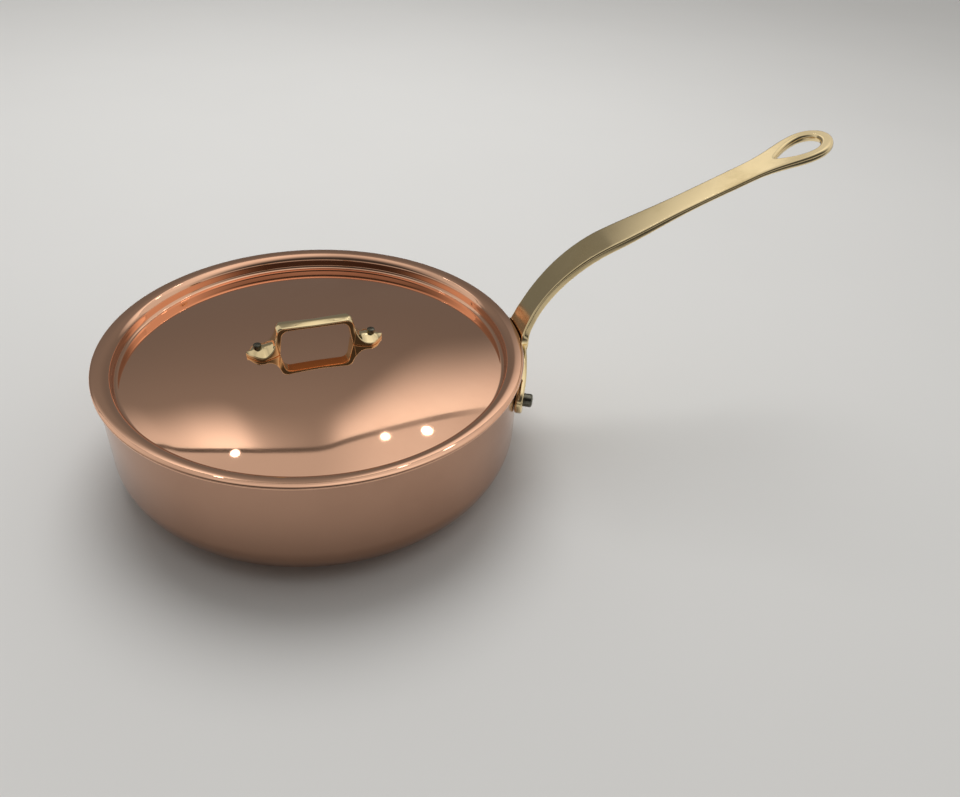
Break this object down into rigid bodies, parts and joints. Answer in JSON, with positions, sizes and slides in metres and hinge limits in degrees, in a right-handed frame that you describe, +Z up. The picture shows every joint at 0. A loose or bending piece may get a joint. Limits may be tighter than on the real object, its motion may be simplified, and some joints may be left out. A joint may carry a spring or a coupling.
{
  "type": "saute pan with lid",
  "caption": "Round straight-sided copper saute pan with a bent, riveted brass handle ending in a hanging eye, and a loose domed copper lid with a low brass bridge handle.",
  "frame": {"origin": "middle of the pan's flat base, on the surface that it stands on", "axes": "+Z up through the lid; +X out along the pan handle; +Y across, so that the handle's two wings lie at +Y and -Y"},
  "size_m": [0.4396, 0.25, 0.192],
  "materials": {
    "copper": "mirror-polished copper",
    "lining_steel": "fine satin stainless steel",
    "cast_brass": "polished cast brass",
    "rivet_metal": "dark polished steel"
  },
  "bodies": {
    "pan": {"pan_body": "copper", "pan_lining": "lining_steel", "pan_handle": "cast_brass", "handle_rivet_near": "rivet_metal", "handle_rivet_far": "rivet_metal", "handle_rivet_low": "rivet_metal"},
    "lid": {"lid_shell": "copper", "lid_lining": "lining_steel", "lid_handle": "cast_brass", "lid_rivet_inner": "rivet_metal", "lid_rivet_outer": "rivet_metal"}
  },
  "joints": [
    {"name": "lid_lift", "type": "slide", "parent": "pan", "child": "lid", "axis": [0, 0, 1], "range_m": [0, 0.14]}
  ]
}
